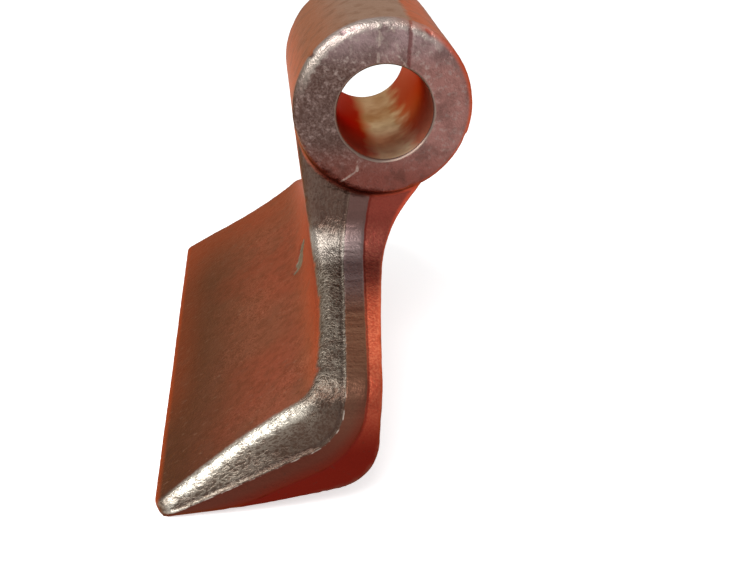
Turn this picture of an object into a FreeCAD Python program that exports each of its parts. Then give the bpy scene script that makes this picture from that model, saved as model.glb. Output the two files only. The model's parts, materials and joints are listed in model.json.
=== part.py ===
# Forged hammer blade for a flail mulcher: one solid, an eye for the pin at the
# top, a neck, wide shoulders and a toe bent forward to a blunt cutting edge.
# Millimetres.  +Z up, the pin bore runs along Y, the toe points to -X, and the
# origin is the middle of the bore.
import FreeCAD, Part
import math
import os

# eye, the round boss that carries the pin
bore_diameter = 25.0
bore_lead_in = 0.6          # small bevel at both mouths of the bore
eye_width = 58.0            # along the pin
eye_radius = 23.3
eye_shift_x = -0.3          # the bore is drilled a little off the forged boss
eye_shift_z = 0.6
eye_edge_round = 2.6

# side profile, seen along the pin
bend_x = -15.3              # where shank front and toe front would meet sharp;
bend_z = -55.2              # from there the shank front runs tangent to the eye
bend_radius = 16.5
toe_slope = 36.0            # degrees below level, front face of the toe
edge_x = -57.6              # foremost line of the cutting edge
edge_back_x = -55.4         # lower line of the cutting edge
edge_height = 3.25          # blunt cutting edge, from its upper to its lower line
edge_crown = 1.2            # how far it bulges
edge_round = 2.0
under_x = -36.0             # where the underside breaks towards the heel
under_rise = 2.0            # above the edge's lower line
under_radius = 120.0
heel_rise = 7.9             # above the edge's lower line
heel_radius = 12.2
back_x = -2.2               # flat back of the blade
back_radius = 74.0          # long hollow from the eye down to the back

# front outline, seen along X
neck_half = 25.0
neck_round = 14.0           # hollow corner between neck and shoulder
neck_z = -36.5
shoulder_half = 73.6
shoulder_slope = 22.5       # degrees below level
shoulder_round = 11.0
waist_drop = 13.5           # from the shoulder's corner to where the sides flare out
waist_round = 32.0
side_flare = 14.8           # degrees
tip_corner = 10.0

# forging: trimmed flash strip round the sides and the draft beside it
flash_proud = 0.35
flash_width = 5.2
flash_top = 1.8             # middle of the strip in front of the eye's middle
flash_in_back = 0.62        # its bend, as a share of the way from back to shank front
flash_in_heel = 0.38        # its bend, as a share of the way from heel to bend
flash_below_edge = 2.6      # where it runs out under the cutting edge
flash_bend_round = 15.0
draft = 5.0                 # degrees
front_edge_round = 4.2
back_edge_round = 2.4


x_way = FreeCAD.Vector(1, 0, 0)
y_way = FreeCAD.Vector(0, 1, 0)


def side(x, z):
    return FreeCAD.Vector(x, 0, z)


def front(y, z):
    return FreeCAD.Vector(0, y, z)


def rounded_edges(corners, closed):
    """Straight runs through (point, radius) corners, with a tangent arc at each."""
    count = len(corners)
    runs = []
    arcs = []
    for i in range(count):
        here, radius = corners[i]
        if radius <= 0 or (not closed and i in (0, count - 1)):
            runs.append((here, here))
            arcs.append(None)
            continue
        back = (corners[i - 1][0] - here).normalize()
        ahead = (corners[(i + 1) % count][0] - here).normalize()
        half = back.getAngle(ahead) / 2
        reach = radius / math.tan(half)
        middle = here + (back + ahead).normalize() * (radius / math.sin(half) - radius)
        runs.append((here + back * reach, here + ahead * reach))
        arcs.append(middle)
    edges = []
    for i in range(count):
        if arcs[i] is not None:
            edges.append(Part.Arc(runs[i][0], arcs[i], runs[i][1]).toShape())
        if i < count - 1 or closed:
            start = runs[i][1]
            end = runs[(i + 1) % count][0]
            if start.distanceToPoint(end) > 1e-6:
                edges.append(Part.makeLine(start, end))
    return edges


def closed_face(corners):
    return Part.Face(Part.Wire(rounded_edges(corners, True)))


# the profile of shank and toe; its top runs inside the eye
eye = side(eye_shift_x, eye_shift_z)
bend = side(bend_x, bend_z)
from_bend = eye - bend
lean = math.asin(eye_radius / from_bend.Length) - math.atan2(from_bend.x, from_bend.z)
front_tangent = eye + side(-math.cos(lean), -math.sin(lean)) * eye_radius
edge_top_z = bend_z - (bend_x - edge_x) * math.tan(math.radians(toe_slope))
edge_low_z = edge_top_z - edge_height
under_z = edge_low_z + under_rise
heel_z = edge_low_z + heel_rise
hollow_x = back_x + back_radius
hollow_turn = math.acos((hollow_x - eye.x) / (eye_radius + back_radius))
hollow_z = eye.z - math.sin(hollow_turn) * (eye_radius + back_radius)
back_tangent = eye + side(math.cos(hollow_turn), -math.sin(hollow_turn)) * eye_radius
hollow_corner_z = hollow_z + back_radius * math.tan(hollow_turn / 2)
edge_face = side(edge_back_x - edge_x, edge_low_z - edge_top_z)
nose = side(edge_x, edge_top_z) + edge_face * 0.5
nose += side(edge_face.z, -edge_face.x).normalize() * edge_crown
profile = [
    (eye, 0),
    (front_tangent, 0),
    (bend, bend_radius),
    (side(edge_x, edge_top_z), 0),
    (nose, edge_round),
    (side(edge_back_x, edge_low_z), 0),
    (side(under_x, under_z), under_radius),
    (side(back_x, heel_z), heel_radius),
    (side(back_x, hollow_corner_z), back_radius),
    (back_tangent, 0),
]
profile_face = closed_face(profile)
long_y = FreeCAD.Vector(0, 6 * shoulder_half, 0)
profile_bar = profile_face.translated(long_y * -0.5).extrude(long_y)


def shifted(points, upright, distance):
    """The same bent line moved sideways in the plane square to upright."""
    sides = []
    for i in range(len(points) - 1):
        sides.append((points[i + 1] - points[i]).cross(upright).normalize())
    moved = []
    for i, point in enumerate(points):
        first = sides[max(i - 1, 0)]
        last = sides[min(i, len(sides) - 1)]
        mitre = (first + last).normalize()
        moved.append(point + mitre * (distance / mitre.dot(first)))
    return moved


# the front outline, wide and narrow: the flash strip stands proud of the second
shoulder_z = neck_z - (shoulder_half - neck_half) * math.tan(math.radians(shoulder_slope))
waist_z = shoulder_z - waist_drop
foot_z = 2 * heel_z
foot_half = shoulder_half + (waist_z - foot_z) * math.tan(math.radians(side_flare))
half_outline = [
    front(neck_half, eye.z + eye_radius),
    front(neck_half, neck_z),
    front(shoulder_half, shoulder_z),
    front(shoulder_half, waist_z),
    front(foot_half, foot_z),
]
reach_x = FreeCAD.Vector(4 * eye_radius - 2 * edge_x, 0, 0)


def outline_bar(inset):
    """Everything inside the front outline, as a bar along X."""
    rounds = [0, neck_round + inset, shoulder_round - inset, waist_round + inset, 0]
    right = list(zip(shifted(half_outline, x_way, inset), rounds))
    left = [(front(-point.y, point.z), radius) for point, radius in reversed(right)]
    return closed_face(right + left).translated(reach_x * -0.5).extrude(reach_x)


blade = profile_bar.common(outline_bar(0))


def rims(solid, borders):
    """The edges round both sides of a solid where it leaves these profile lines."""
    found = []
    for edge in solid.Edges:
        middle = (edge.FirstParameter + edge.LastParameter) / 2
        spot = edge.valueAt(middle)
        if abs(edge.tangentAt(middle).y) > 0.999 or spot.z > eye.z - eye_radius / 2:
            continue
        mark = Part.Vertex(side(spot.x, spot.z))
        if min(line.distToShape(mark)[0] for line in borders) < 0.01:
            found.append(edge)
    return found


lines = profile_face.OuterWire.Edges
front_lines = lines[1:4]
back_lines = lines[7:]
blade = blade.makeFillet(back_edge_round, rims(blade, back_lines))

# the middle of the flash strip follows the bend of the blade
strip = [
    side(eye.x - flash_top, eye.z),
    side(
        back_x + flash_in_back * (bend_x - back_x),
        heel_z + flash_in_heel * (bend_z - heel_z),
    ),
    side(edge_x, edge_low_z - flash_below_edge),
]


def draft_cutters(towards):
    """What the die leaves away beside the strip, on the toe's side or the back's."""
    offset = towards * flash_width / 2
    rounds = [0, flash_bend_round + offset, 0]
    corners = list(zip(shifted(strip, y_way, offset), rounds))
    border = Part.Wire(rounded_edges(corners, False))
    sheet = border.translated(long_y * -0.5).extrude(long_y)
    outside = sheet.cut(outline_bar(flash_proud))
    run = towards * reach_x.x
    slide = reach_x.x * math.tan(math.radians(draft))
    cutters = []
    for piece in outside.Faces:
        hand = 1 if piece.CenterOfMass.y > 0 else -1
        cutters.append(piece.extrude(FreeCAD.Vector(run, -hand * slide, -0.6 * slide)))
    return cutters


for towards in (-1, 1):
    for cutter in draft_cutters(towards):
        blade = blade.cut(cutter)
blade = blade.makeFillet(front_edge_round, rims(blade, front_lines))

# both corners of the cutting edge are rounded off in plan
edge_half = shoulder_half + (waist_z - edge_low_z) * math.tan(math.radians(side_flare))
plan_corner = FreeCAD.Vector(edge_x - edge_crown, -edge_half, foot_z)
plan = Part.makeBox(reach_x.x, 2 * edge_half, eye.z + eye_radius - foot_z, plan_corner)
upright = []
for edge in plan.Edges:
    if edge.CenterOfMass.x < edge_x and abs(edge.tangentAt(edge.FirstParameter).z) > 0.999:
        upright.append(edge)
plan = plan.makeFillet(tip_corner, upright)
blade = blade.common(plan)

# the eye: a boss with rounded ends, eased into the neck, bored for the pin
boss = Part.makeCylinder(eye_radius, eye_width, eye - y_way * (eye_width / 2), y_way)
ends = [edge for edge in boss.Edges if edge.isClosed()]
boss = boss.makeFillet(eye_edge_round, ends)
body = blade.fuse(boss)
bore_radius = bore_diameter / 2
bore = Part.makeCylinder(bore_radius, eye_width, y_way * (-eye_width / 2), y_way)
body = body.cut(bore)
mouths = []
for edge in body.Edges:
    if edge.isClosed() and abs(edge.Length - math.pi * bore_diameter) < 0.01:
        mouths.append(edge)
body = body.makeChamfer(bore_lead_in, mouths)
os.makedirs("parts", exist_ok=True)
body.exportStep("parts/hammer_blade.step")
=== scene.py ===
# Forged hammer blade of a flail mulcher, dressed for the photograph's view.
# Metres in Blender; the sizes of marks and patterns are written in millimetres.
# +Z up, the pin bore along Y, the toe towards -X, origin in the middle of the bore.
import json
import math
import bmesh
import bpy
import numpy as np
from mathutils import Matrix, Vector, noise
from mathutils.bvhtree import BVHTree


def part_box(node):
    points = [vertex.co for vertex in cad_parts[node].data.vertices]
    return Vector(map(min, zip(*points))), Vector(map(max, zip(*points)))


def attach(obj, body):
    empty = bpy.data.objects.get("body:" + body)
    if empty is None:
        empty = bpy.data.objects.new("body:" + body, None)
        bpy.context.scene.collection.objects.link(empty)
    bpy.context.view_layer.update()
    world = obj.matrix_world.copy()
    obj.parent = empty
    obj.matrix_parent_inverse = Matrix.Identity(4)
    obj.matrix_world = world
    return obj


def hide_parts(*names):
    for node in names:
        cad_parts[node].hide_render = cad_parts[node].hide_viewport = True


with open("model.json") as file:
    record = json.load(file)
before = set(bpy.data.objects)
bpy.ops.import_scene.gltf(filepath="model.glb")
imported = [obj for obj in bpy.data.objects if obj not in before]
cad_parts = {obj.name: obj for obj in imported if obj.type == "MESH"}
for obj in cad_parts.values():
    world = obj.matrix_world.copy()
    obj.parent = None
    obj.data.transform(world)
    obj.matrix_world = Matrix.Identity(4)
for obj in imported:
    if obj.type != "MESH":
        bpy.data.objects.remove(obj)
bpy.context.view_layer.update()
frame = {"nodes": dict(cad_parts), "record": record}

MM = 0.001

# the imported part; the plain numbers repeat the solid's own sizes, in millimetres
cad_blade = frame["nodes"]["hammer_blade"]
box_low, box_high = (np.array(corner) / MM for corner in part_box("hammer_blade"))
bore_mount = next(m for m in frame["record"]["mounts"] if m["name"] == "bore")
BORE_RADIUS = bore_mount["dims"]["r_mm"]
BORE_LEAD_IN = 0.6
EYE_HALF = bore_mount["dims"]["length_mm"] / 2 + BORE_LEAD_IN
EYE_RADIUS = 23.3
EYE_X = box_high[0] - EYE_RADIUS
EYE_Z = box_high[2] - EYE_RADIUS
NECK_HALF = 25.0

# the band where the flash was sheared off: its middle line as (x, z), from the eye
# down to the bend and out along the toe
BAND_WIDTH = 5.2
BAND_TOP = np.array([EYE_X - 1.8, EYE_Z])
BAND_BEND = np.array([-10.32, -71.37])
BAND_TIP = np.array([box_low[0], -91.78])
BAND_BEND_ROUND = 15.0
ON_BORDER = 0.12             # corners this near the band's border lines are on them
BAND_SMOOTHED = 0.75         # share of the die's marks that the shears took off it

# the skin's mesh
WELD = 0.002                 # CAD corners closer than this are one
VOXEL = 0.42                 # grid of the remeshed skin
TRIANGLES = 186000           # kept for the blade before the bore is cut
BOX_MARGIN = 0.01            # the skin stays this far inside the CAD box
BORE_STEPS = 160             # facets round the bore
STRAIGHT = 0.02              # a face whose normal's Y is below this runs along Y
CREASE_SHARE, CREASE_ROUNDS = 0.9, 60     # smoothing of the crease under the eye
CROWN_SHARE, CROWN_ROUNDS = 0.7, 8        # the softened shape that edges stand out of

# fractal patterns of the relief: size of the largest swells, octaves, seed
SWELLS = {
    "die wear": (22.0, 2, 1),
    "orange peel": (4.2, 3, 2),
    "scale grain": (1.6, 2, 3),
    "torn borders": (3.5, 3, 4),
    "shear tears": (1.3, 2, 5),
    "end faces": (9.0, 2, 7),
    "parting wander": (4.0, 2, 8),
    "rim wear": (5.0, 3, 9),
    "parting tears": (1.6, 2, 10),
    "parting jags": (1.6, 2, 11),
    "knock border": (3.0, 3, 12),
}
SEED_SHIFT = np.array([17.3, -9.1, 5.7])

# heights and depths of the forging's marks over the plain solid
HEIGHTS = {
    "die wear": 0.10,
    "orange peel": 0.05,
    "scale grain": 0.03,
    "drafted peel": 0.10,
    "drafted grain": 0.05,
    "peel pits": 0.10,
    "shear tears": 0.03,
    "deeper tears": 0.05,
    "burr": 0.07,
    "groove before the band": 0.10,
    "groove behind the band": 0.18,
    "end face grain": 0.05,
    "end face peel": 0.06,
    "end face swells": 0.04,
    "parting tears": 0.10,
    "parting strip": 0.16,
    "parting ridge": 0.16,
    "parting seam": 0.22,
    "seam on the barrel": 0.14,
    "low step": 0.12,
    "low ridge": 0.18,
    "rim wear": 0.35,
}

# the die's parting line on the eye: x of the torn strip's two borders above the bore,
# and of the slanted step below it
PARTING_LEFT = -2.5
PARTING_RIGHT = 5.1
PARTING_LOW = -6.5

# knocks: middle (x, z), radius and depth of the dent and the pit on the near rim of
# the eye, then both ends and the depth of the long one under the bend of the face
DENT_AT, DENT_RADIUS, DENT_DEPTH = (15.0, 16.0), 2.2, 0.7
PIT_AT, PIT_RADIUS, PIT_DEPTH = (-19.6, 14.3), 0.8, 0.5
KNOCK_START = np.array([-18.2, 11.5, -54.6])
KNOCK_END = np.array([-19.9, -1.0, -57.6])
KNOCK_DEPTH = 0.5

# the view: the eye as the camera sees it, to the right, up and ahead
CAMERA_PITCH = 26.7          # degrees
CAMERA_YAW = -7.1
EYE_FROM_CAMERA = Vector((-0.56, 55.95, -280.92)) * MM
FOCAL_LENGTH = 48.0
SENSOR_WIDTH = 36.0
CLIP_START = 0.01            # metres

# soft square lamps: where each stands as seen from the blade, its distance and width
# in metres, and its power in watts
LAMPS = (
    ("key", (-0.66, -0.38, 0.58), 0.6, 0.28, 2.6),
    ("front", (-0.22, -0.67, 0.71), 0.6, 0.26, 1.9),
    ("fill", (0.8, -0.5, 0.35), 0.8, 0.5, 0.2),
)
SKY_ON_BLADE = 0.4           # light of the white world on the blade
SKY_SEEN = 0.6               # added where it is seen, so that it comes out white
FLOOR_HALF = 3.0             # metres
FLOOR_GLOW = 0.62            # lifts the lit table top to white where it is seen


# ------------------------------------------------------------------ camera

def add_camera():
    """Looks down on the eye, a little from the toe's side."""
    data = bpy.data.cameras.new("camera")
    data.lens = FOCAL_LENGTH
    data.sensor_width = SENSOR_WIDTH
    data.clip_start = CLIP_START
    camera = bpy.data.objects.new("camera", data)
    bpy.context.scene.collection.objects.link(camera)
    level = Matrix.Rotation(math.radians(90), 3, "X")
    pitch = Matrix.Rotation(math.radians(-CAMERA_PITCH), 3, "X")
    yaw = Matrix.Rotation(math.radians(CAMERA_YAW), 3, "Y")
    turn = level @ pitch @ yaw
    camera.matrix_world = Matrix.Translation(-(turn @ EYE_FROM_CAMERA)) @ turn.to_4x4()
    bpy.context.scene.camera = camera


# ------------------------------------------------------------------ mesh helpers

def smooth_step(value, start, end):
    """0 up to start, 1 from end on, and a soft rise between them."""
    t = np.clip((value - start) / (end - start), 0.0, 1.0)
    return t * t * (3 - 2 * t)


def bump(value, middle, width):
    """A soft ridge, 1 at its middle and gone about two widths away."""
    return np.exp(-((value - middle) / width) ** 2)


def swells(points, name):
    """The named fractal pattern at each point, about -1 to 1."""
    size, octaves, seed = SWELLS[name]
    shift = SEED_SHIFT * seed
    return np.array([noise.fractal(spot, 1.0, 2.0, octaves) for spot in points / size + shift])


def read_points(mesh):
    """The mesh's vertices, in mm."""
    flat = np.empty(len(mesh.vertices) * 3, np.float32)
    mesh.vertices.foreach_get("co", flat)
    return flat.reshape(-1, 3).astype(float) / MM


def write_points(mesh, points):
    mesh.vertices.foreach_set("co", (points * MM).astype(np.float32).ravel())
    mesh.update()


def read_normals(mesh):
    flat = np.empty(len(mesh.vertices) * 3, np.float32)
    mesh.vertex_normals.foreach_get("vector", flat)
    return flat.reshape(-1, 3).astype(float)


def read_edges(mesh):
    flat = np.empty(len(mesh.edges) * 2, np.int32)
    mesh.edges.foreach_get("vertices", flat)
    return flat.reshape(-1, 2)


def relaxed(points, edges, share, rounds):
    """Draws each point towards the middle of its neighbours, by its own share."""
    ends = np.concatenate([edges, edges[:, ::-1]])
    count = np.bincount(ends[:, 0], minlength=len(points))
    for _ in range(rounds):
        middle = np.empty_like(points)
        for axis in range(points.shape[1]):
            total = np.bincount(ends[:, 0], points[ends[:, 1], axis], len(points))
            middle[:, axis] = total / count
        points = points + share[:, None] * (middle - points)
    return points


def add_object(name, mesh):
    obj = bpy.data.objects.new(name, mesh)
    bpy.context.scene.collection.objects.link(obj)
    return obj


def apply_modifiers(obj):
    """Gives the object the mesh that its modifiers make, and removes them."""
    graph = bpy.context.evaluated_depsgraph_get()
    mesh = bpy.data.meshes.new_from_object(obj.evaluated_get(graph))
    obj.modifiers.clear()
    obj.data = mesh


def merged_copy(node, name):
    """A copy of the CAD node's mesh with its loose triangles joined."""
    mesh = node.data.copy()
    mesh.materials.clear()
    mesh.name = name
    shell = bmesh.new()
    shell.from_mesh(mesh)
    bmesh.ops.remove_doubles(shell, verts=shell.verts, dist=WELD * MM)
    shell.to_mesh(mesh)
    shell.free()
    return add_object(name, mesh)


# ------------------------------------------------------------------ where things lie

def band_sides(points):
    """Distance from the sheared band's middle line, positive on the back's side,
    and the way along it from the eye, both in mm."""
    first = BAND_BEND - BAND_TOP
    length = np.linalg.norm(first)
    first /= length
    second = (BAND_TIP - BAND_BEND) / np.linalg.norm(BAND_TIP - BAND_BEND)
    turn = math.acos(first @ second)
    reach = BAND_BEND_ROUND * math.tan(turn / 2)
    inward = np.array([first[1], -first[0]])
    centre = BAND_BEND - first * reach + inward * BAND_BEND_ROUND
    spots = points[:, [0, 2]]
    along_first = (spots - BAND_TOP) @ first
    along_second = (spots - BAND_BEND) @ second
    before = -((spots - BAND_TOP) @ inward)
    after = -((spots - BAND_BEND) @ np.array([second[1], -second[0]]))
    bend = np.linalg.norm(spots - centre, axis=1) - BAND_BEND_ROUND
    angle = np.arctan2((spots - centre) @ first, (spots - centre) @ -inward)
    in_bend = length - reach + BAND_BEND_ROUND * np.clip(angle, 0, turn)
    past_bend = length - 2 * reach + BAND_BEND_ROUND * turn + along_second
    on_shank = along_first < length - reach
    on_toe = ~on_shank & (along_second > reach)
    across = np.select([on_shank, on_toe], [before, after], bend)
    along = np.select([on_shank, on_toe], [along_first, past_bend], in_bend)
    return across, along


def side_inset(points, plain):
    """How far inside its profile a point on the blade's sides lies, in mm.

    It is 0 on the faces and on the eye's barrel, which run straight along Y. The low
    steps at the band's two borders run that way too, but are part of the sides.
    """
    mesh = plain.data
    corners = read_points(mesh)
    across, _ = band_sides(corners)
    on_border = np.abs(np.abs(across) - BAND_WIDTH / 2) < ON_BORDER
    straight = []
    for face in mesh.polygons:
        if abs(face.normal.y) < STRAIGHT and not all(on_border[i] for i in face.vertices):
            straight.append(tuple(face.vertices))
    tree = BVHTree.FromPolygons(corners.tolist(), straight)
    return np.array([tree.find_nearest(spot)[3] for spot in points])


class Place:
    """Where each vertex of a mesh lies on the blade."""

    def __init__(self, mesh, plain):
        self.points = read_points(mesh)
        self.normals = read_normals(mesh)
        self.across, self.along = band_sides(self.points)
        self.inset = side_inset(self.points, plain)
        self.x, self.y, self.z = self.points.T
        self.out = np.abs(self.y)
        self.from_eye = np.hypot(self.x - EYE_X, self.z - EYE_Z)
        # the eye's end faces with their rounded rims, and the barrel between them
        self.ring = smooth_step(self.out, EYE_HALF - 3.2, EYE_HALF - 2.2)
        self.ring *= 1 - smooth_step(self.from_eye, EYE_RADIUS + 0.6, EYE_RADIUS + 1.6)
        self.barrel = 1 - smooth_step(np.abs(self.from_eye - EYE_RADIUS), 0.4, 1.2)
        self.barrel *= 1 - self.ring


# ------------------------------------------------------------------ the forging's skin

def remeshed_blank(plain):
    """The blade with its bore filled, as an even fine skin."""
    blank = add_object("hammer_blade_skin", plain.data.copy())
    shell = bmesh.new()
    shell.from_mesh(blank.data)
    walls = []
    for face in shell.faces:
        middle = face.calc_center_median() / MM
        if math.hypot(middle.x, middle.z) < BORE_RADIUS + BORE_LEAD_IN - 0.05:
            walls.append(face)
    bmesh.ops.delete(shell, geom=walls, context="FACES")
    bmesh.ops.holes_fill(shell, edges=shell.edges)
    bmesh.ops.recalc_face_normals(shell, faces=shell.faces)
    shell.to_mesh(blank.data)
    shell.free()
    remesh = blank.modifiers.new("even skin", "REMESH")
    remesh.mode = "VOXEL"
    remesh.voxel_size = VOXEL * MM
    apply_modifiers(blank)
    return blank


def ease_crease(mesh):
    """The neck runs into the eye's barrel in a small hollow, not in a sharp crease."""
    points = read_points(mesh)
    x, y, z = points.T
    off_barrel = np.hypot(x - EYE_X, z - EYE_Z) - EYE_RADIUS
    away = np.hypot(off_barrel, np.abs(y) - NECK_HALF)
    share = (1 - smooth_step(away, 1.0, 3.4)) * (z < EYE_Z - 6)
    share *= CREASE_SHARE
    write_points(mesh, relaxed(points, read_edges(mesh), share, CREASE_ROUNDS))


def forged_relief(place):
    """Height of the forging's marks over the plain solid, in mm."""
    x, y, z = place.x, place.y, place.z
    side = smooth_step(place.inset, 0.8, 2.0)
    body = 1 - place.ring

    # the sheared band between its two torn borders, and the drafted side before it
    torn = swells(np.column_stack([place.along, y * 0.2, x * 0]), "torn borders")
    front = -BAND_WIDTH / 2 + 0.4 * torn
    rear = BAND_WIDTH / 2 + 0.3 * np.roll(torn, 1)
    band = side * smooth_step(place.across, front - 0.2, front + 0.2)
    band *= 1 - smooth_step(place.across, rear - 0.2, rear + 0.2)
    drafted = side * (1 - smooth_step(place.across, front - 1.0, front))

    # wear of the die, orange peel and scale grain, with pits where the peel is deepest
    peel = swells(place.points, "orange peel")
    grain = swells(place.points, "scale grain")
    height = HEIGHTS["die wear"] * swells(place.points, "die wear")
    height += HEIGHTS["orange peel"] * peel + HEIGHTS["scale grain"] * grain
    height += drafted * (HEIGHTS["drafted peel"] * peel + HEIGHTS["drafted grain"] * grain)
    height -= HEIGHTS["peel pits"] * smooth_step(peel, 0.45, 0.9)
    height *= body * (1 - BAND_SMOOTHED * band)

    # the shears' tears run along X on the band and are deepest near the shoulder
    tears = swells(np.column_stack([x * 0.05, y * 0.8, z]), "shear tears")
    deep = HEIGHTS["shear tears"] + HEIGHTS["deeper tears"] * smooth_step(z, -56.0, -44.0)
    height += band * deep * tears

    # a broken burr on the front border with a groove before it, and one behind the band
    burr = bump(place.across, front, 0.35) * smooth_step(torn, -0.2, 0.5)
    before = bump(place.across, front - 1.0, 0.5)
    behind = bump(place.across, rear + 0.2, 0.4)
    height += side * body * HEIGHTS["burr"] * burr
    height -= side * body * HEIGHTS["groove before the band"] * before
    height -= side * body * HEIGHTS["groove behind the band"] * behind

    end_face = HEIGHTS["end face grain"] * grain + HEIGHTS["end face peel"] * peel
    end_face += HEIGHTS["end face swells"] * swells(place.points, "end faces")
    return height + place.ring * end_face


def parting_line(place):
    """The die's parting line across the eye's end faces and along its barrel.

    Gives its height in mm, and where the dark seam and the bright scars lie.
    """
    x, y, z = place.x, place.y, place.z
    flat = place.ring * (1 - smooth_step(place.from_eye, EYE_RADIUS - 1.6, EYE_RADIUS - 0.4))
    wander = swells(np.column_stack([z * 0.6, y * 0.3, x * 0]), "parting wander")
    jagged = swells(np.column_stack([z, y * 0.3, x * 0]), "parting jags")
    torn = swells(np.column_stack([x + z, (x - z) * 0.25, y * 0]), "parting tears")
    broken = smooth_step(jagged, -0.5, 0.2)

    # above the bore: a torn strip, sunk between a broken ridge and a dark seam
    left = PARTING_LEFT + 0.5 * wander + 0.35 * jagged
    right = PARTING_RIGHT + 0.25 * wander + 0.1 * jagged
    upper = smooth_step(z, BORE_RADIUS - 3.0, BORE_RADIUS)
    strip = smooth_step(x, left - 0.2, left + 0.2)
    strip *= 1 - smooth_step(x, right - 0.2, right + 0.2)
    sunk = HEIGHTS["parting tears"] * torn - HEIGHTS["parting strip"]
    height = upper * strip * flat * sunk
    height += HEIGHTS["parting ridge"] * upper * flat * bump(x, left - 0.2, 0.4)
    seam = upper * place.ring * bump(x, right, 0.6)
    height -= HEIGHTS["parting seam"] * seam
    ridge = broken * bump(x, left - 0.2, 0.45)
    scar = upper * flat * (ridge + strip * smooth_step(torn, 0.25, 0.6))
    barrel_top = place.barrel * smooth_step(z, 15.0, 20.0)
    height -= HEIGHTS["seam on the barrel"] * barrel_top * bump(x, right - 0.3, 0.45)

    # below it: a slanted step with a broken ridge
    lower = smooth_step(-z, BORE_RADIUS - 3.0, BORE_RADIUS)
    slant = PARTING_LOW - np.maximum(-z - 15.7, 0) * 1.3 + 0.5 * wander + 0.35 * jagged
    beyond = smooth_step(x, slant - 0.2, slant + 0.2) * (1 - smooth_step(x, 4.0, 7.0))
    step = HEIGHTS["low step"] * beyond + HEIGHTS["low ridge"] * bump(x, slant, 0.4)
    height += lower * flat * step
    scar += lower * flat * broken * bump(x, slant, 0.45)
    return height, seam, scar


def eye_knocks(place):
    """Height of the worn rims of the eye and of the dent and the pit on the near one."""
    near = place.y < 0
    rim = bump(place.out, EYE_HALF - 0.9, 1.2) * bump(place.from_eye, EYE_RADIUS - 0.9, 1.4)
    worn = smooth_step(swells(place.points, "rim wear"), 0.05, 0.6)
    height = -HEIGHTS["rim wear"] * rim * worn
    dent = bump(np.hypot(place.x - DENT_AT[0], place.z - DENT_AT[1]), 0.0, DENT_RADIUS)
    height -= DENT_DEPTH * near * dent * smooth_step(place.out, 26.0, 28.5)
    pit = bump(np.hypot(place.x - PIT_AT[0], place.z - PIT_AT[1]), 0.0, PIT_RADIUS)
    height -= PIT_DEPTH * near * pit * smooth_step(place.out, 24.0, 27.0)
    return height


def long_knock(place):
    """The long knock on the bend of the toe's front face: 1 on its floor, 0 off it."""
    way = KNOCK_END - KNOCK_START
    from_start = place.points - KNOCK_START
    share = np.clip(from_start @ way / (way @ way), 0, 1)
    away = np.linalg.norm(from_start - share[:, None] * way, axis=1)
    away += 0.9 * swells(place.points, "knock border")
    return 1 - smooth_step(away, 0.6, 2.2)


def dressed_blade(plain):
    """The blade with the forging's marks, its bore still filled."""
    skin = remeshed_blank(plain)
    ease_crease(skin.data)
    place = Place(skin.data, plain)
    height = forged_relief(place) + parting_line(place)[0] + eye_knocks(place)
    height -= KNOCK_DEPTH * long_knock(place)
    moved = place.points + place.normals * height[:, None]
    write_points(skin.data, np.clip(moved, box_low + BOX_MARGIN, box_high - BOX_MARGIN))
    thin = skin.modifiers.new("fewer faces", "DECIMATE")
    thin.ratio = min(1.0, TRIANGLES / (2 * len(skin.data.polygons)))
    apply_modifiers(skin)
    skin.name = "forged_hammer_blade"
    return skin


# ------------------------------------------------------------------ the bore

def bore_cutter(material):
    """A turned plug with the bore's shape: straight, with a small flare at both mouths."""
    past = 2.0
    flare = BORE_RADIUS + BORE_LEAD_IN + past
    profile = [
        (flare, EYE_HALF + past),
        (BORE_RADIUS, EYE_HALF - BORE_LEAD_IN),
        (BORE_RADIUS, -EYE_HALF + BORE_LEAD_IN),
        (flare, -EYE_HALF - past),
    ]
    rows = []
    plug = bmesh.new()
    for radius, y in profile:
        row = []
        for i in range(BORE_STEPS):
            turn = 2 * math.pi * i / BORE_STEPS
            spot = Vector((radius * math.cos(turn), y, radius * math.sin(turn)))
            row.append(plug.verts.new(spot * MM))
        rows.append(row)
    for upper, lower in zip(rows, rows[1:]):
        for i in range(BORE_STEPS):
            j = (i + 1) % BORE_STEPS
            plug.faces.new((upper[i], upper[j], lower[j], lower[i]))
    plug.faces.new(rows[0])
    plug.faces.new(rows[-1])
    bmesh.ops.recalc_face_normals(plug, faces=plug.faces)
    mesh = bpy.data.meshes.new("bore_plug")
    plug.to_mesh(mesh)
    plug.free()
    mesh.materials.append(material)
    return add_object("bore_plug", mesh)


def cut_bore(obj, material):
    """Cuts the exact bore, whose wall takes the given material."""
    plug = bore_cutter(material)
    cut = obj.modifiers.new("bore", "BOOLEAN")
    cut.operation = "DIFFERENCE"
    cut.solver = "EXACT"
    cut.material_mode = "TRANSFER"
    cut.object = plug
    apply_modifiers(obj)
    bpy.data.objects.remove(plug)
    shell = bmesh.new()
    shell.from_mesh(obj.data)
    bmesh.ops.triangulate(shell, faces=[face for face in shell.faces if len(face.verts) > 4])
    shell.to_mesh(obj.data)
    shell.free()


# ------------------------------------------------------------------ marks for the steel

MARKS = ("across", "along", "inset", "ring", "barrel", "crown", "knock", "seam", "scar")


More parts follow.
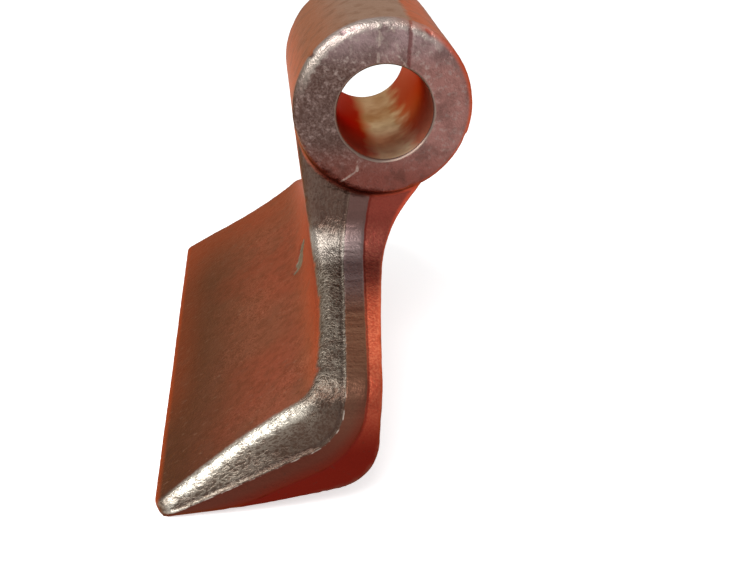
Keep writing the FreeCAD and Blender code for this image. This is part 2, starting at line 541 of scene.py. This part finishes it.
def mark_places(mesh, plain):
    """Writes what the steel's colours follow to the mesh, vertex by vertex."""
    place = Place(mesh, plain)
    edges = read_edges(mesh)
    share = np.full(len(place.points), CROWN_SHARE)
    soft = relaxed(place.points, edges, share, CROWN_ROUNDS)
    # how far each edge or hollow stands out of the softened shape, off the bore's mouth
    crown = np.einsum("ij,ij->i", place.points - soft, place.normals)
    crown = relaxed(crown[:, None], edges, share, 3)[:, 0]
    crown *= smooth_step(place.from_eye, EYE_RADIUS - 3.5, EYE_RADIUS - 2.0)
    knock = long_knock(place)
    _, seam, scar = parting_line(place)
    values = (place.across, place.along, place.inset, place.ring, place.barrel,
              crown, knock, seam, scar)
    for name, value in zip(MARKS, values):
        layer = mesh.attributes.new(name, "FLOAT", "POINT")
        layer.data.foreach_set("value", value.astype(np.float32))


# ------------------------------------------------------------------ what the steel shows

# Patterns of the forged steel, each 0 to 1: what it lies on, the size of its swells and
# its detail. The worms and dashes of the blasted sides run along the sheared band. The
# finest ones, grit and dashes, are drawn as coarse as they have to be to show.
PATTERNS = (
    ("ragged", "plain", 2.2, 3.0),
    ("worms", "along the band", 0.95, 2.0),
    ("grit", "plain", 0.55, 2.0),
    ("lumps", "plain", 2.6, 2.0),
    ("soot", "plain", 4.5, 3.0),
    ("blots", "plain", 7.0, 4.0),
    ("patches", "plain", 14.0, 4.0),
    ("clouds", "plain", 34.0, 2.0),
    ("slants", "slanted", 1.6, 2.0),
    ("shears", "sheared", 0.9, 2.0),
    ("pits", "plain", 1.0, 2.0),
    ("sand", "plain", 1.3, 5.0),
    ("dashes", "along the band", 0.42, 3.0),
)

PATTERN_ROUGHNESS = 0.6
DRAWN_OUT = 0.45             # scale along the band: worms come out twice as long as wide
RAGGED_REACH = 0.6           # the ragged pattern goes this far to either side
WEAR_AND_SHEEN_BROKEN = 0.20           # mm by which sand and dashes break up the bright worn edges and their painted highlights

# Relief of the patterns on the steel, in mm, and how blasted the eye's end faces are
# beside the drafted sides
BUMPS = {"worms": 0.06, "lumps": 0.3, "pits": 0.10, "grit": 0.05, "more grit on the eye": 0.10}
EYE_BLASTED = 0.6
FILM_ROUGHNESS = 0.42
BLASTED_ROUGHNESS = 0.36

# The film on the far side, in mm: where it starts and is full along Y, and its way in
FAR_FILM_START, FAR_FILM_FULL, FAR_FILM_INSET = 22.0, 34.0, 2.4

# The bore's wall, in mm: sizes of the film's blots and of the reamer's rings, which are
# drawn coarser than they are, and their depth; how far the blots move a border; and x
# of the cleaner streak
BORE_BLOTS, BORE_RINGS, RING_DEPTH = 5.0, 0.6, 0.05
BORE_WAVE, STREAK_X = 2.5, 3.2

# How far the ragged pattern moves a border: the border's name, its value, the way in mm
RAGGED = (
    ("ragged inset", "inset", 1.0),
    ("ragged across", "across", 0.4),
    ("burr across", "across", 0.35),
    ("ragged crown", "crown", 0.03),
    ("ragged x", "x", 2.5),
)

# Distances to either side of a line or level: their name, the value, where the line is
OFF_LINES = (
    ("off the worms", "worms", 0.5),
    ("off the burr", "burr across", -BAND_WIDTH / 2),
    ("off the scale line", "across", -BAND_WIDTH / 2 - 0.9),
    ("off the red line", "ragged across", BAND_WIDTH / 2 + 0.3),
    ("off the hollow", "z", -37.5),
    ("off the middle of the shank", "z", -49.5),
    ("out", "y", 0.0),
    ("sideways", "facing x", 0.0),
)

# Where each coat lies: its name, the value it follows, where it starts, where it is
# full, and how much it covers there
COVERS = (
    # the drafted sides, the sheared band and the back behind it
    ("side", "ragged inset", 0.2, 2.0, 1.0),
    ("band", "across", -BAND_WIDTH / 2 - 0.2, -BAND_WIDTH / 2 + 0.2, 1.0),
    ("past band", "ragged across", BAND_WIDTH / 2 - 0.2, BAND_WIDTH / 2 + 0.2, 1.0),
    ("by the band", "across", -14.0, -6.0, 0.75),
    ("near the bend", "x", -42.0, -22.0, 1.0),
    ("below the shoulder", "z", -53.0, -59.0, 1.0),
    # painted shade under the eye: the sides darker on the neck
    ("neck", "z", -38.0, -30.0, 0.8),
    # in the hollow the band is greyer and lighter, a painted highlight, and the back darker
    ("hollow", "z", -47.5, -41.5, 0.74),
    # painted highlight: a pale band across the drafted side in the hollow under the neck
    ("hollow highlight", "off the hollow", 5.0, 1.0, 0.5),
    ("corner", "z", -51.0, -57.0, 0.65),
    ("low toe", "z", -50.0, -74.0, 1.0),
    ("near the back", "ragged across", -1.0, 2.6, 0.7),
    ("scale line", "off the scale line", 0.55, 0.2, 0.5),
    ("red line", "off the red line", 0.5, 0.15, 0.6),
    ("back edge", "inset", 2.2, 1.2, 0.4),
    ("above the heel", "z", -64.0, -54.0, 1.0),
    ("burr", "off the burr", 0.24, 0.05, 0.75),
    ("burr breaks", "lumps", 0.46, 0.62, 1.0),
    ("off the neck", "z", -33.0, -40.0, 1.0),
    # the broad front face and the underside
    ("behind", "across", -1.0, 4.0, 1.0),
    ("low face", "z", -62.0, -84.0, 0.85),
    ("far face", "y", 30.0, 76.0, 0.6),
    ("toe end", "x", -46.0, -57.0, 0.4),
    ("off the near corner", "y", -60.0, -20.0, 1.0),
    ("far edge", "facing y", 0.2, 0.6, 0.6),
    ("edge line", "x", -55.8, -57.2, 0.6),
    ("shank front", "z", -60.0, -51.0, 0.7),
    # red on the faces that look down: partly rust, partly a painted reflection of red
    # surroundings
    ("underside", "facing z", -0.25, -0.75, 0.8),
    # the eye's end faces, its rims and the neck right under them
    # eye left and eye upper place the painted highlight on the rim's upper left
    ("eye left", "x", 19.0, 6.0, 0.34),
    # the end faces turn pinker to the right, partly rust and partly a painted red reflection;
    # lighter towards the top and darker towards the bottom
    ("eye right", "x", -14.0, 16.0, 1.0),
    ("eye upper", "z", 2.0, 14.0, 1.0),
    ("eye top", "z", 10.0, 20.0, 0.8),
    ("eye bottom", "z", -6.0, -19.0, 0.8),
    ("seam", "seam", 0.2, 0.8, 0.65),
    ("scar", "scar", 0.25, 0.7, 0.5),
    # the orange-red right rim: partly rust, partly a painted reflection of red surroundings
    ("rim", "from the eye", EYE_RADIUS - 1.8, EYE_RADIUS - 0.3, 0.8),
    ("rim right", "x", -2.0, 12.0, 1.0),
    # painted shade in the crease where the eye's foot meets the neck, below the bore
    ("shade round the eye", "from the eye", EYE_RADIUS + 2.4, EYE_RADIUS + 1.0, 0.6),
    ("below the bore", "z", -2.0, -8.0, 1.0),
    ("beside the neck", "out", NECK_HALF - 1.2, NECK_HALF - 0.4, 1.0),
    # the eye's barrel
    # orange on the barrel's flanks and right side: partly rust, partly a painted reflection of
    # red surroundings
    ("barrel sides", "sideways", 0.30, 0.85, 1.0),
    ("barrel flanks", "sideways", 0.84, 1.0, 0.65),
    ("barrel right", "ragged x", 4.4, 6.6, 0.9),
    ("barrel back", "x", 11.0, 19.0, 0.75),
    # painted shade: the barrel darker under the eye's rim, beside the neck
    ("barrel low", "z", -3.0, -17.0, 0.9),
    # edges worn bright with painted highlights on them, and the places where these lie
    ("rubbed and highlit", "worn and lit crown", 0.10, 0.19, 0.85),
    ("off the tip", "x", -56.0, -51.0, 1.0),
    ("off the shank", "off the middle of the shank", 9.0, 15.0, 1.0),
    ("under the eye", "z", -33.0, -46.0, 1.0),
    ("front edge", "inset", 5.6, 3.2, 1.0),
    # painted shade in the creases, then dirt, pits and the like, all over
    ("crease", "crown", -0.04, -0.14, 0.35),
    ("knock", "knock", 0.35, 0.75, 0.9),
    ("worms", "off the worms", 0.11, 0.0, 0.8),
    ("glints", "sand", 0.50, 0.72, 0.6),
    ("grit", "grit", 0.35, 0.7, 1.0),
    ("patches", "patches", 0.35, 0.65, 1.0),
    ("clouds", "clouds", 0.42, 0.66, 0.45),
    ("blots", "blots", 0.50, 0.70, 0.25),
    ("soot", "soot", 0.45, 0.7, 0.45),
    ("slants", "slants", 0.62, 0.74, 0.22),
    ("shears", "shears", 0.35, 0.65, 1.0),
    ("mottle", "lumps", 0.42, 0.66, 0.26),
    ("pits", "pits", 0.64, 0.72, 0.3),
)

# Covers that lie only where another one does
LIMITS = (
    ("rubbed and highlit", "lit"),
    ("rubbed and highlit", "off the tip"),
    ("burr", "burr breaks"),
    ("burr", "off the neck"),
    ("by the band", "below the shoulder"),
    ("by the band", "near the bend"),
    ("toe end", "off the near corner"),
    ("back edge", "above the heel"),
    ("near the back", "low toe"),
    ("rim", "rim right"),
    ("shade round the eye", "below the bore"),
    ("shade round the eye", "beside the neck"),
)

# Coats of each zone, every one laid over the one before it
COATS = {
    "face": [
        ("#9c604c", None),
        ("#744232", "grit"),
        ("#865240", "patches"),
        ("#84382a", "behind"),
        ("#984838", "clouds"),
        ("#4e2e22", "mottle"),
        ("#45332a", "low face"),
        ("#9c4c34", "far face"),
        ("#a84c34", "shank front"),
        ("#93422e", "toe end"),
        ("#a84c30", "far edge"),
        ("#6e4a3c", "blots"),
        ("#a84628", "edge line"),
        ("#a88670", "slants"),
    ],
    "drafted": [
        ("#4a3f36", None),
        ("#62584e", "grit"),
        ("#7d7469", "worms"),
        ("#4c382f", "soot"),
        ("#38261e", "by the band"),
        # painted highlight in the hollow under the neck
        ("#8e8780", "hollow highlight"),
        # painted shade under the eye
        ("#443029", "neck"),
        ("#352823", "scale line"),
    ],
    "band": [
        ("#694534", None),
        ("#76523f", "shears"),
        # painted highlight: the band greyer and lighter in the hollow
        ("#6c6264", "hollow"),
        # painted shade under the eye
        ("#4c322c", "neck"),
        ("#48362c", "corner"),
        ("#4a251c", "low toe"),
        ("#54150c", "near the back"),
        ("#b8aca0", "burr"),
    ],
    # the back behind the band is red, deepest low on the heel and brighter on its edge: partly
    # the rust film, partly a painted reflection of red surroundings
    "back": [
        ("#c6593f", None),
        ("#de7856", "grit"),
        # darker in the hollow
        ("#341e24", "hollow"),
        # painted shade under the eye
        ("#682c24", "neck"),
        ("#6e2a1e", "corner"),
        ("#54130c", "low toe"),
        ("#501612", "red line"),
        ("#d85032", "back edge"),
    ],
    # the end faces: pinker to the right, partly rust and partly a painted red reflection;
    # lighter towards the top, darker red towards the bottom
    "eye": [
        ("#45332e", None),
        ("#5f4c46", "grit"),
        ("#7c5650", "eye right"),
        ("#857070", "eye top"),
        ("#88746e", "glints"),
        ("#603028", "eye bottom"),
        ("#382620", "soot"),
        ("#96867c", "scar"),
        ("#46100c", "seam"),
        # orange-red right rim: partly rust, partly a painted red reflection
        ("#bc4826", "rim"),
    ],
    # the barrel's orange flanks and right side are partly rust and partly a painted reflection
    # of red surroundings
    "barrel": [
        ("#9a8070", None),
        ("#9c644a", "barrel sides"),
        ("#c05a30", "barrel flanks"),
        ("#bc5830", "barrel right"),
        ("#844834", "barrel back"),
        ("#6c4c3a", "soot"),
        # painted shade under the eye's rim
        ("#46291f", "barrel low"),
    ],
}


# ------------------------------------------------------------------ materials

# sockets of a colour Mix node: how much, the colour below, the colour on top
SHARE, BELOW, ABOVE = 0, 6, 7


def linear(code):
    """An sRGB hex colour as linear numbers, opaque."""
    levels = [int(code[i:i + 2], 16) / 255 for i in (1, 3, 5)]
    flat = [v / 12.92 if v <= 0.04045 else ((v + 0.055) / 1.055) ** 2.4 for v in levels]
    return tuple(flat) + (1.0,)


def add_node(tree, kind, inputs=None, **settings):
    """Adds a shader node with its settings and links.

    An input is a number, a colour, a socket, or a node, which gives its first output.
    """
    node = tree.nodes.new("ShaderNode" + kind)
    for name, value in settings.items():
        setattr(node, name, value)
    for name, value in (inputs or {}).items():
        if isinstance(value, bpy.types.Node):
            value = next(socket for socket in value.outputs if socket.enabled)
        if isinstance(value, bpy.types.NodeSocket):
            tree.links.new(value, node.inputs[name])
        else:
            node.inputs[name].default_value = value
    return node


def blank_material(name):
    material = bpy.data.materials.new(name)
    material.use_nodes = True
    tree = material.node_tree
    tree.nodes.clear()
    return material, tree


def forged_measures(tree):
    """Everything that the coats follow, by name; lengths are in mm."""
    coords = add_node(tree, "TexCoord").outputs
    in_mm = {0: coords["Object"], "Scale": 1 / MM}
    spot = add_node(tree, "VectorMath", in_mm, operation="SCALE")
    x, y, z = add_node(tree, "SeparateXYZ", {0: spot}).outputs
    facing = add_node(tree, "SeparateXYZ", {0: coords["Normal"]}).outputs
    measures = {"x": x, "y": y, "z": z}
    for axis in "xyz":
        measures["facing " + axis] = facing[axis.upper()]
    for name in MARKS:
        measures[name] = add_node(tree, "Attribute", attribute_name=name).outputs["Fac"]

    # the patterns, drawn out along the band, on a slant and along the shears' way
    shorter = {0: measures["along"], 1: DRAWN_OUT}
    drawn_out = add_node(tree, "Math", shorter, operation="MULTIPLY")
    along_band = {0: drawn_out, 1: y, 2: measures["across"]}
    slant = {"Vector": spot, "Rotation": (0.0, 0.5, 0.6), "Scale": (0.22, 1.6, 1.0)}
    sheared = {"Vector": spot, "Scale": (0.08, 1.3, 1.3)}
    ways = {
        "plain": spot,
        "along the band": add_node(tree, "CombineXYZ", along_band),
        "slanted": add_node(tree, "Mapping", slant),
        "sheared": add_node(tree, "Mapping", sheared),
    }
    for name, way, size, detail in PATTERNS:
        pattern = {"Vector": ways[way], "Scale": 1 / size, "Detail": detail,
                   "Roughness": PATTERN_ROUGHNESS}
        measures[name] = add_node(tree, "TexNoise", pattern)

    # borders made ragged
    centred = {0: measures["ragged"], 1: 2 * RAGGED_REACH, 2: -RAGGED_REACH}
    uneven = add_node(tree, "Math", centred, operation="MULTIPLY_ADD")
    for name, value, way in RAGGED:
        moved = {0: uneven, 1: way, 2: measures[value]}
        measures[name] = add_node(tree, "Math", moved, operation="MULTIPLY_ADD")

    # the film covers the far edges too: there the blasted side starts further in
    far = {"Value": y, "From Min": FAR_FILM_START, "From Max": FAR_FILM_FULL,
           "To Min": 0.0, "To Max": FAR_FILM_INSET}
    further_in = {0: measures["ragged inset"], 1: add_node(tree, "MapRange", far)}
    measures["ragged inset"] = add_node(tree, "Math", further_in, operation="SUBTRACT")

    # the bright worn edges and their painted highlights are broken up by sand on the eye and
    # by dashes on the sides
    broken_by = {0: measures["ring"], 2: measures["dashes"], 3: measures["sand"]}
    wear = add_node(tree, "Mix", broken_by, data_type="FLOAT")
    worn = {0: wear, 1: WEAR_AND_SHEEN_BROKEN, 2: measures["ragged crown"]}
    measures["worn and lit crown"] = add_node(tree, "Math", worn, operation="MULTIPLY_ADD")

    for name, value, line in OFF_LINES:
        gap = add_node(tree, "Math", {0: measures[value], 1: line}, operation="SUBTRACT")
        measures[name] = add_node(tree, "Math", {0: gap}, operation="ABSOLUTE")
    level = add_node(tree, "CombineXYZ", {0: x, 1: 0.0, 2: z})
    to_eye = {0: level, 1: (EYE_X, 0.0, EYE_Z)}
    distance = add_node(tree, "VectorMath", to_eye, operation="DISTANCE")
    measures["from the eye"] = distance.outputs["Value"]
    return measures


def forged_covers(tree, measures):
    """How much each coat covers, 0 to 1, by name."""
    covers = {"ring": measures["ring"], "barrel": measures["barrel"]}
    for name, value, start, full, most in COVERS:
        rise = {"Value": measures[value], "From Min": start, "From Max": full,
                "To Min": 0.0, "To Max": most}
        covers[name] = add_node(tree, "MapRange", rise, interpolation_type="SMOOTHSTEP")

    # the blasted part of the sides, and where its edges and the eye's rim are worn bright and
    # carry painted highlights
    off_band = add_node(tree, "Math", {0: 1.0, 1: covers["band"]}, operation="SUBTRACT")
    blasted = {0: off_band, 1: covers["side"]}
    covers["blasted"] = add_node(tree, "Math", blasted, operation="MULTIPLY")
    lit = covers["blasted"]
    for name in ("under the eye", "off the shank", "front edge"):
        lit = add_node(tree, "Math", {0: lit, 1: covers[name]}, operation="MULTIPLY")
    upper_left = {0: covers["eye left"], 1: covers["eye upper"]}
    eye_lit = add_node(tree, "Math", upper_left, operation="MULTIPLY")
    both_lit = {0: eye_lit, 1: covers["ring"], 2: lit}
    covers["lit"] = add_node(tree, "Math", both_lit, operation="MULTIPLY_ADD")

    for name, where in LIMITS:
        limited = {0: covers[name], 1: covers[where]}
        covers[name] = add_node(tree, "Math", limited, operation="MULTIPLY")
    return covers


def forged_colour(tree, covers):
    """The coats laid over one another, zone by zone and then over the whole blade."""
    skins = {}
    for zone, coats in COATS.items():
        skins[zone] = linear(coats[0][0])
        for code, cover in coats[1:]:
            coat = {SHARE: covers[cover], BELOW: skins[zone], ABOVE: linear(code)}
            skins[zone] = add_node(tree, "Mix", coat, data_type="RGBA")
    sides = skins["drafted"]
    for cover, zone in (("band", "band"), ("past band", "back")):
        coat = {SHARE: covers[cover], BELOW: sides, ABOVE: skins[zone]}
        sides = add_node(tree, "Mix", coat, data_type="RGBA")
    skin = skins["face"]
    for cover, top in (
        ("side", sides),
        ("barrel", skins["barrel"]),
        # painted shade in the crease round the eye's foot
        ("shade round the eye", linear("#38201a")),
        ("ring", skins["eye"]),
        # red underside: partly rust, partly a painted red reflection
        ("underside", linear("#6a2a20")),
        # edges worn bright, with painted highlights
        ("rubbed and highlit", linear("#c8c2b5")),
        ("knock", linear("#7f7b69")),
        # painted shade in the creases
        ("crease", linear("#331e17")),
        ("pits", linear("#33221b")),
    ):
        coat = {SHARE: covers[cover], BELOW: skin, ABOVE: top}
        skin = add_node(tree, "Mix", coat, data_type="RGBA")
    return skin


def forged_steel():
    """Hot-forged carbon steel, shot-blasted and bare, with a thin film of rust.

    To the eye: a dull brown skin on the broad faces, silvery and wormy where the
    draft faces and edges were blasted clean, and red where the film is thicker.
    That red on the back, the underside and the eye's barrel and rim is partly the
    film and partly a painted reflection of red surroundings. The bright edges carry
    painted highlights, and the neck and the creases under the eye painted shade.
    """
    material, tree = blank_material("forged_blasted_steel")
    measures = forged_measures(tree)
    covers = forged_covers(tree, measures)

    # how blasted the skin is, the eye's end faces less than the sides
    ring = covers["ring"]
    off_eye = add_node(tree, "Math", {0: 1.0, 1: ring}, operation="SUBTRACT")
    blasted_sides = {0: covers["blasted"], 1: off_eye}
    blasted = add_node(tree, "Math", blasted_sides, operation="MULTIPLY")
    with_eye = {0: ring, 1: EYE_BLASTED, 2: blasted}
    blasted = add_node(tree, "Math", with_eye, operation="MULTIPLY_ADD")

    # relief in mm: worms and lumps where it is blasted, pits and a fine grit all over
    wormy = {0: covers["worms"], 1: BUMPS["worms"]}
    lumpy = {0: measures["lumps"], 1: BUMPS["lumps"],
             2: add_node(tree, "Math", wormy, operation="MULTIPLY")}
    height = add_node(tree, "Math", lumpy, operation="MULTIPLY_ADD")
    height = add_node(tree, "Math", {0: height, 1: blasted}, operation="MULTIPLY")
    pitted = {0: measures["pits"], 1: BUMPS["pits"], 2: height}
    height = add_node(tree, "Math", pitted, operation="MULTIPLY_ADD")
    grit = {0: ring, 1: BUMPS["more grit on the eye"], 2: BUMPS["grit"]}
    gritty = {0: measures["grit"], 1: add_node(tree, "Math", grit, operation="MULTIPLY_ADD"),
              2: height}
    height = add_node(tree, "Math", gritty, operation="MULTIPLY_ADD")
    relief = add_node(tree, "Bump", {"Height": height, "Strength": 1.0, "Distance": MM})

    dull = {"Value": blasted, "From Min": 0.0, "From Max": 1.0,
            "To Min": FILM_ROUGHNESS, "To Max": BLASTED_ROUGHNESS}
    shader = add_node(tree, "BsdfPrincipled", {
        "Base Color": forged_colour(tree, covers),
        "Metallic": 1.0,
        "Roughness": add_node(tree, "MapRange", dull),
        "Normal": relief,
        "Specular Tint": linear("#cfb8aa"),
    })
    add_node(tree, "OutputMaterial", {"Surface": shader})
    return material


def bored_steel():
    """The drilled and reamed bore: smooth bare steel under a red film of rust.

    To the eye: a thin bright line at the mouth, a deep red wall, and a tan streak
    of cleaner steel along the bottom. The wall's red is partly the film of rust
    and partly a painted reflection of red surroundings.
    """
    material, tree = blank_material("bored_steel")
    coords = add_node(tree, "TexCoord").outputs["Object"]
    spot = add_node(tree, "VectorMath", {0: coords, "Scale": 1 / MM}, operation="SCALE")
    x, y, z = add_node(tree, "SeparateXYZ", {0: spot}).outputs
    out = add_node(tree, "Math", {0: y}, operation="ABSOLUTE")

    # blots of the film, and the reamer's rings
    blotted = {"Vector": spot, "Scale": 1 / BORE_BLOTS, "Detail": 2.0}
    blots = add_node(tree, "TexNoise", blotted)
    turned = add_node(tree, "Mapping", {"Vector": spot, "Scale": (0.1, 1.0, 0.1)})
    reamed = {"Vector": turned, "Scale": 1 / BORE_RINGS, "Detail": 2.0}
    rings = add_node(tree, "TexNoise", reamed)

    # places across the bore, made wavy by the blots
    waved = {0: blots, 1: 2 * BORE_WAVE, 2: x}
    wavy_x = add_node(tree, "Math", waved, operation="MULTIPLY_ADD")
    wavy_x = add_node(tree, "Math", {0: wavy_x, 1: BORE_WAVE}, operation="SUBTRACT")
    off_streak = add_node(tree, "Math", {0: wavy_x, 1: STREAK_X}, operation="SUBTRACT")
    off_streak = add_node(tree, "Math", {0: off_streak}, operation="ABSOLUTE")
    mouth_at = EYE_HALF - BORE_LEAD_IN
    covers = {}
    for name, value, start, full, most in (
        ("film", blots, 0.35, 0.65, 1.0),
        ("below", z, -3.0, -8.0, 1.0),
        ("streak", off_streak, 7.0, 3.4, 0.95),
        ("right", wavy_x, 3.0, 11.0, 0.7),
        ("mouth", out, mouth_at - 0.1, mouth_at + 0.05, 1.0),
    ):
        rise = {"Value": value, "From Min": start, "From Max": full,
                "To Min": 0.0, "To Max": most}
        covers[name] = add_node(tree, "MapRange", rise)
    low_streak = {0: covers["streak"], 1: covers["below"]}
    covers["streak"] = add_node(tree, "Math", low_streak, operation="MULTIPLY")

    cleaner = {SHARE: covers["film"], BELOW: linear("#d8d8b4"), ABOVE: linear("#b8b290")}
    # the red wall: partly the rust film, partly a painted reflection of red surroundings
    wall = linear("#ac5a48")
    for cover, top in (
        ("film", linear("#a85c46")),
        ("right", linear("#cc9274")),
        ("streak", add_node(tree, "Mix", cleaner, data_type="RGBA")),
        ("mouth", linear("#6a5a52")),
    ):
        coat = {SHARE: covers[cover], BELOW: wall, ABOVE: top}
        wall = add_node(tree, "Mix", coat, data_type="RGBA")
    grooves = {"Height": rings, "Strength": 0.4, "Distance": RING_DEPTH * MM}
    relief = add_node(tree, "Bump", grooves)
    shader = add_node(tree, "BsdfPrincipled", {
        "Base Color": wall,
        "Metallic": 1.0,
        "Roughness": 0.4,
        "Normal": relief,
        "Specular Tint": linear("#b8604a"),
    })
    add_node(tree, "OutputMaterial", {"Surface": shader})
    return material


# ------------------------------------------------------------------ stage

def seen_rays(tree):
    """1 for rays from the camera, a mirror or glass, so that they see the white backdrop."""
    path = add_node(tree, "LightPath").outputs
    seen = path["Is Camera Ray"]
    for ray in ("Is Glossy Ray", "Is Transmission Ray"):
        seen = add_node(tree, "Math", {0: seen, 1: path[ray]}, operation="MAXIMUM")
    return seen


def add_floor():
    """A plain white table top under the toe and the heel."""
    half, top = FLOOR_HALF, box_low[2] * MM
    corners = [(-half, -half, top), (half, -half, top), (half, half, top), (-half, half, top)]
    mesh = bpy.data.meshes.new("floor")
    mesh.from_pydata(corners, [], [(0, 1, 2, 3)])
    floor = add_object("floor", mesh)
    material, tree = blank_material("white_table_top")
    paper = add_node(tree, "BsdfDiffuse", {"Color": linear("#f4f4f4")})
    glow = add_node(tree, "Emission", {"Color": linear("#ffffff"), "Strength": FLOOR_GLOW})
    both = add_node(tree, "AddShader", {0: paper, 1: glow})
    seen = add_node(tree, "MixShader", {0: seen_rays(tree), 1: paper, 2: both})
    add_node(tree, "OutputMaterial", {"Surface": seen})
    mesh.materials.append(material)


def add_world():
    world = bpy.data.worlds.new("white_studio")
    world.use_nodes = True
    tree = world.node_tree
    tree.nodes.clear()
    light = {0: seen_rays(tree), 1: SKY_SEEN, 2: SKY_ON_BLADE}
    strength = add_node(tree, "Math", light, operation="MULTIPLY_ADD")
    white = add_node(tree, "Background", {"Color": linear("#ffffff"), "Strength": strength})
    add_node(tree, "OutputWorld", {"Surface": white})
    bpy.context.scene.world = world


def add_lamp(name, towards, distance, width, power):
    """A square soft lamp that looks at the blade from the given direction."""
    data = bpy.data.lights.new(name, "AREA")
    data.shape = "SQUARE"
    data.size = width
    data.energy = power
    lamp = add_object(name, data)
    away = Vector(towards).normalized()
    middle = Vector(((box_low + box_high) / 2 * MM).tolist())
    lamp.location = middle + away * distance
    lamp.rotation_euler = away.to_track_quat("Z", "Y").to_euler()


# ------------------------------------------------------------------ making

add_camera()
plain_blade = merged_copy(cad_blade, "plain_blade")
steel = forged_steel()
bore_steel = bored_steel()
hammer = dressed_blade(plain_blade)
hammer.data.materials.append(steel)
cut_bore(hammer, bore_steel)
mark_places(hammer.data, plain_blade)
hammer.data.shade_smooth()
bpy.data.objects.remove(plain_blade)
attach(hammer, "root")
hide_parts("hammer_blade")

add_floor()
add_world()
for lamp_row in LAMPS:
    add_lamp(*lamp_row)

bpy.context.scene.view_settings.view_transform = "Standard"
